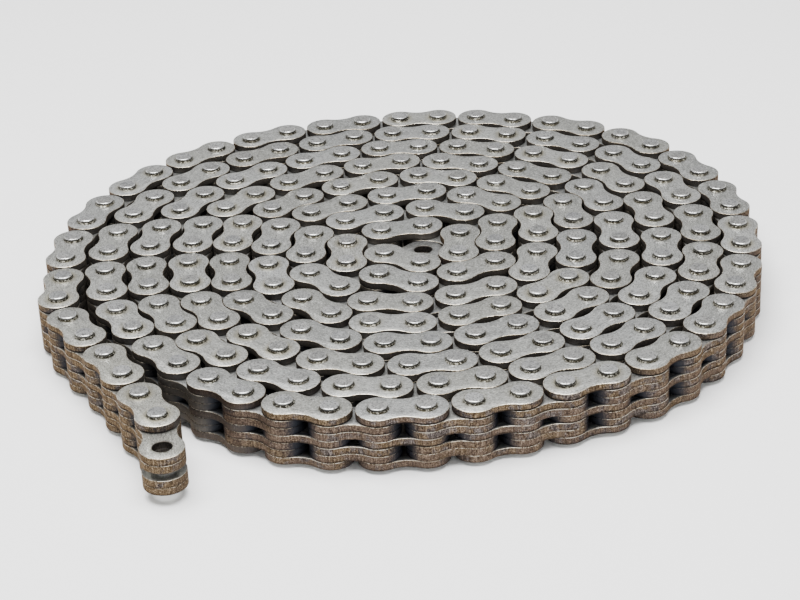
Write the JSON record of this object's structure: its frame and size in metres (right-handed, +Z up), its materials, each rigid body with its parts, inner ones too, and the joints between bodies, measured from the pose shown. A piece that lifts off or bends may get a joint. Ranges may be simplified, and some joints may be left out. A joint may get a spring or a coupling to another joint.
{
  "type": "leaf chain",
  "caption": "Leaf chain of laced hourglass steel plates on riveted pins, lying coiled flat in a spiral with its loose end leaving the coil in a line.",
  "frame": {"origin": "middle of the coil's box, on the surface that the lower pin ends rest on", "axes": "+Z up along the pins, +X to the right and +Y away from a viewer who has the loose end at the near left"},
  "size_m": [0.3191, 0.3148, 0.027],
  "materials": {
    "plate_steel": "satin, fine ground faces with bronze-brown sheared edges",
    "pin_steel": "bright, slightly bluish, with riveted ends",
    "coil_steel": "satin, as the loose plates"
  },
  "bodies": {
    "coil": {"coil_turn_1": "coil_steel", "coil_turn_2": "coil_steel", "coil_turn_3": "coil_steel", "coil_turn_4": "coil_steel", "coil_turn_5": "coil_steel", "coil_turn_6": "coil_steel", "coil_turn_7": "coil_steel", "inner_end_plate_1": "plate_steel", "inner_end_plate_2": "plate_steel", "inner_end_plate_3": "plate_steel", "inner_end_plate_4": "plate_steel"},
    "pin_link_5": {"pin_link_5_bottom_plate": "plate_steel", "pin_link_5_middle_plate": "plate_steel", "pin_link_5_top_plate": "plate_steel", "pin_link_5_outer_pin": "pin_steel", "pin_link_5_inner_pin": "pin_steel"},
    "plain_link_4": {"plain_link_4_plate_1": "plate_steel", "plain_link_4_plate_2": "plate_steel", "plain_link_4_plate_3": "plate_steel", "plain_link_4_plate_4": "plate_steel"},
    "pin_link_4": {"pin_link_4_bottom_plate": "plate_steel", "pin_link_4_middle_plate": "plate_steel", "pin_link_4_top_plate": "plate_steel", "pin_link_4_outer_pin": "pin_steel", "pin_link_4_inner_pin": "pin_steel"},
    "plain_link_3": {"plain_link_3_plate_1": "plate_steel", "plain_link_3_plate_2": "plate_steel", "plain_link_3_plate_3": "plate_steel", "plain_link_3_plate_4": "plate_steel"},
    "pin_link_3": {"pin_link_3_bottom_plate": "plate_steel", "pin_link_3_middle_plate": "plate_steel", "pin_link_3_top_plate": "plate_steel", "pin_link_3_outer_pin": "pin_steel", "pin_link_3_inner_pin": "pin_steel"},
    "plain_link_2": {"plain_link_2_plate_1": "plate_steel", "plain_link_2_plate_2": "plate_steel", "plain_link_2_plate_3": "plate_steel", "plain_link_2_plate_4": "plate_steel"},
    "pin_link_2": {"pin_link_2_bottom_plate": "plate_steel", "pin_link_2_middle_plate": "plate_steel", "pin_link_2_top_plate": "plate_steel", "pin_link_2_outer_pin": "pin_steel", "pin_link_2_inner_pin": "pin_steel"},
    "plain_link_1": {"plain_link_1_plate_1": "plate_steel", "plain_link_1_plate_2": "plate_steel", "plain_link_1_plate_3": "plate_steel", "plain_link_1_plate_4": "plate_steel"},
    "pin_link_1": {"pin_link_1_bottom_plate": "plate_steel", "pin_link_1_middle_plate": "plate_steel", "pin_link_1_top_plate": "plate_steel", "pin_link_1_outer_pin": "pin_steel", "pin_link_1_inner_pin": "pin_steel"},
    "end_link": {"end_link_plate_1": "plate_steel", "end_link_plate_2": "plate_steel", "end_link_plate_3": "plate_steel", "end_link_plate_4": "plate_steel"}
  },
  "joints": [
    {"name": "pin_9_hinge", "type": "hinge", "parent": "coil", "child": "pin_link_5", "pos_m": [-0.14911, 0.02983, 0.0135], "axis": [0, 0, -1], "range_deg": [0, 28]},
    {"name": "pin_8_hinge", "type": "hinge", "parent": "pin_link_5", "child": "plain_link_4", "pos_m": [-0.15058, 0.01083, 0.0135], "axis": [0, 0, -1], "range_deg": [0, 28]},
    {"name": "pin_7_hinge", "type": "hinge", "parent": "plain_link_4", "child": "pin_link_4", "pos_m": [-0.14951, -0.00818, 0.0135], "axis": [0, 0, -1], "range_deg": [0, 28]},
    {"name": "pin_6_hinge", "type": "hinge", "parent": "pin_link_4", "child": "plain_link_3", "pos_m": [-0.14967, -0.02723, 0.0135], "axis": [0, 0, -1], "range_deg": [0, 28]},
    {"name": "pin_5_hinge", "type": "hinge", "parent": "plain_link_3", "child": "pin_link_3", "pos_m": [-0.14357, -0.04528, 0.0135], "axis": [0, 0, -1], "range_deg": [0, 28]},
    {"name": "pin_4_hinge", "type": "hinge", "parent": "pin_link_3", "child": "plain_link_2", "pos_m": [-0.13467, -0.06212, 0.0135], "axis": [0, 0, -1], "range_deg": [-1.5, 28]},
    {"name": "pin_3_hinge", "type": "hinge", "parent": "plain_link_2", "child": "pin_link_2", "pos_m": [-0.12488, -0.07847, 0.0135], "axis": [0, 0, -1], "range_deg": [-3, 28]},
    {"name": "pin_2_hinge", "type": "hinge", "parent": "pin_link_2", "child": "plain_link_1", "pos_m": [-0.11622, -0.09543, 0.0135], "axis": [0, 0, -1], "range_deg": [-4, 28]},
    {"name": "pin_1_hinge", "type": "hinge", "parent": "plain_link_1", "child": "pin_link_1", "pos_m": [-0.10787, -0.11255, 0.0135], "axis": [0, 0, -1], "range_deg": [-6, 28]},
    {"name": "pin_0_hinge", "type": "hinge", "parent": "pin_link_1", "child": "end_link", "pos_m": [-0.09953, -0.12968, 0.0135], "axis": [0, 0, -1], "range_deg": [-20, 45]}
  ]
}
